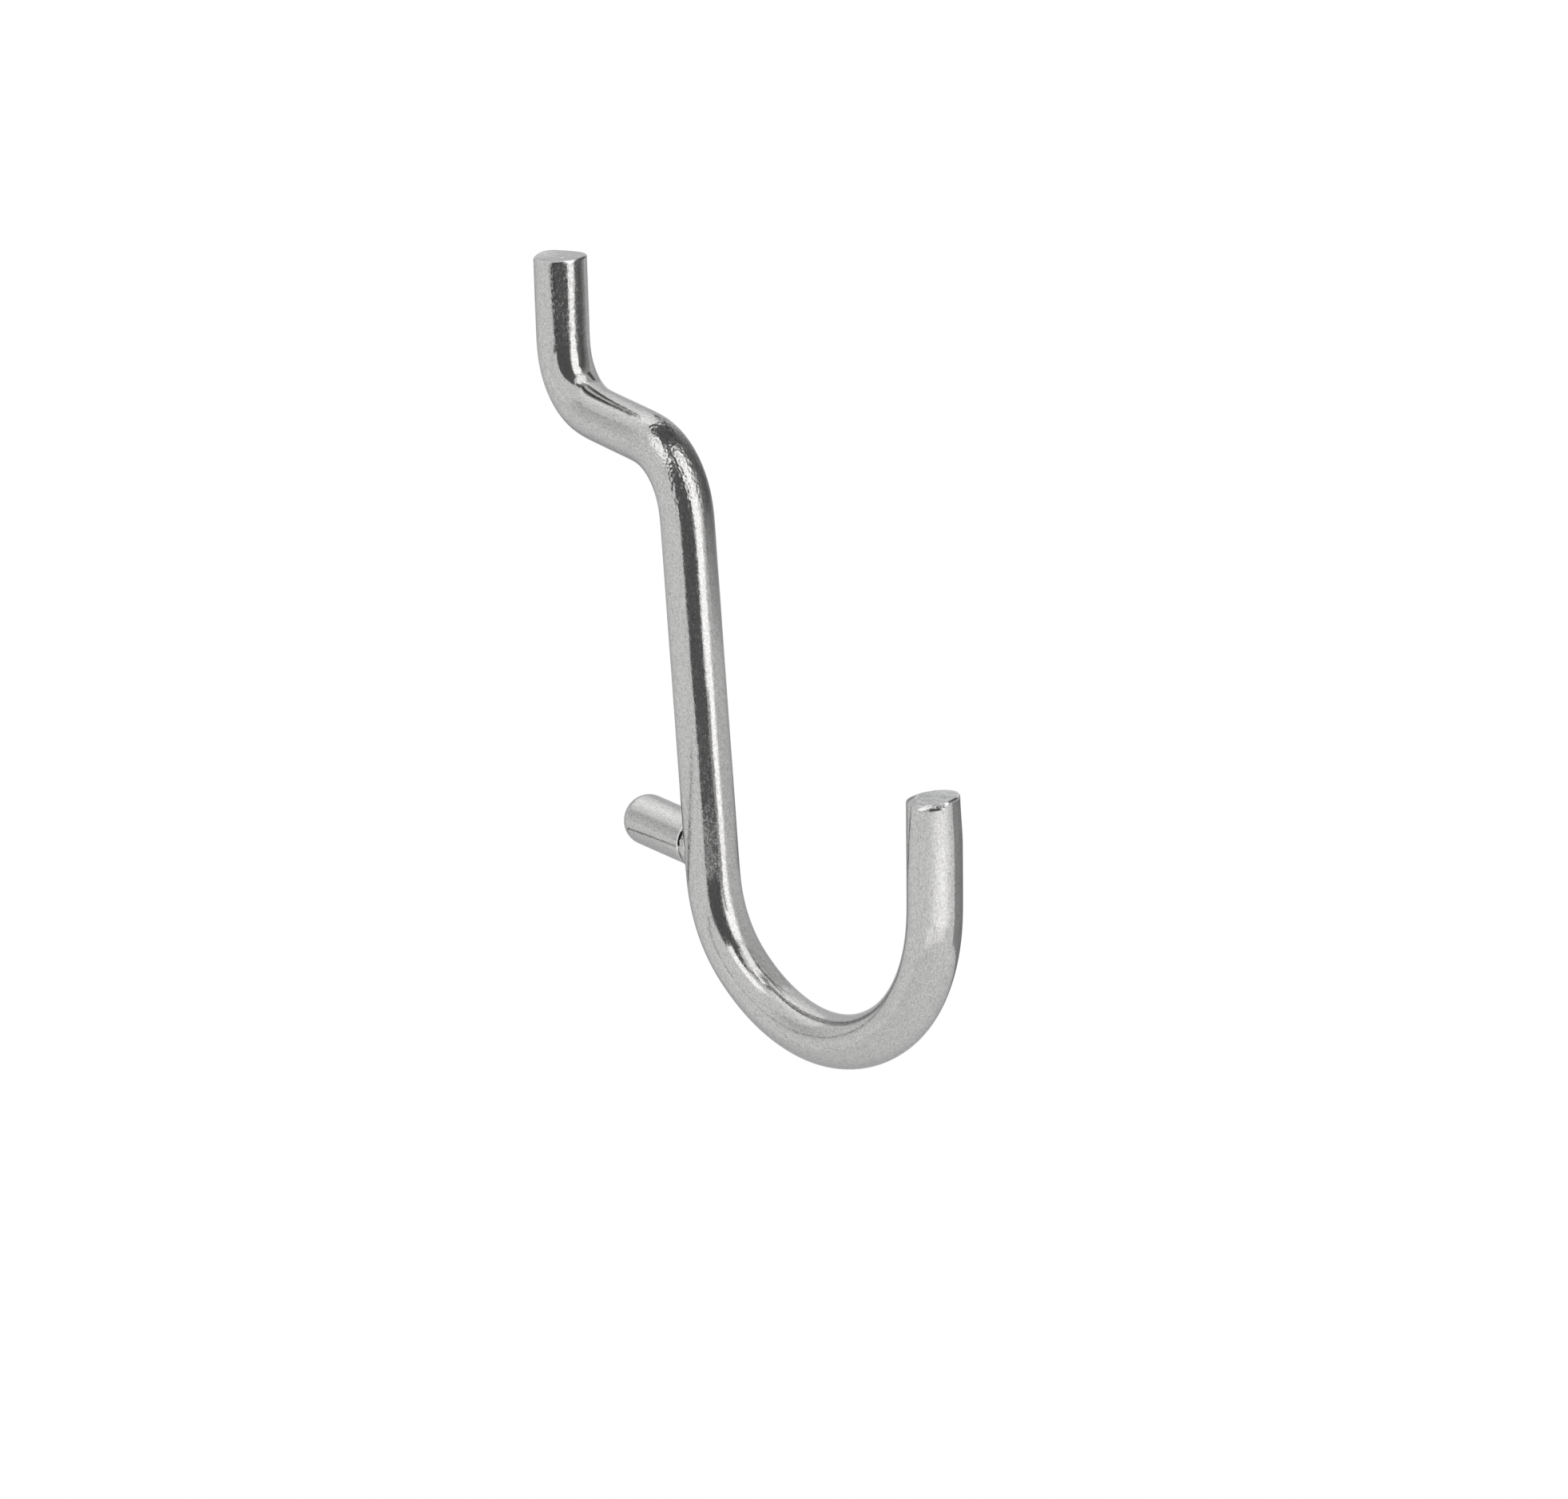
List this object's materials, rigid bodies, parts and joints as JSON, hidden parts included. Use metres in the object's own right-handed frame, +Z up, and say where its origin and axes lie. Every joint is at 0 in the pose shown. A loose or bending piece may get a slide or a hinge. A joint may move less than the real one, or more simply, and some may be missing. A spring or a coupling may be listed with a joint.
{
  "type": "pegboard hook",
  "caption": "Bent wire J-hook for pegboard: an upturned tip and crank hold it in one hole, a short peg enters the hole below, and a wide U ends in an upright prong.",
  "frame": {"origin": "middle of the crank, which is the centre of the upper board hole", "axes": "+Z up as the hook hangs, +Y into the board, -Y towards the open mouth and the user, +X sideways along the board"},
  "size_m": [0.0034, 0.0442, 0.0461],
  "materials": {
    "wire_zinc": "bright zinc plate on drawn steel wire, fine lines along the wire, scuffed on the bends",
    "peg_zinc": "bright zinc plate, slightly mottled, rounded end",
    "weld_zinc": "plated over rough weld metal"
  },
  "bodies": {
    "root": {"hook_wire": "wire_zinc", "lower_peg": "peg_zinc", "weld": "weld_zinc"}
  },
  "joints": []
}
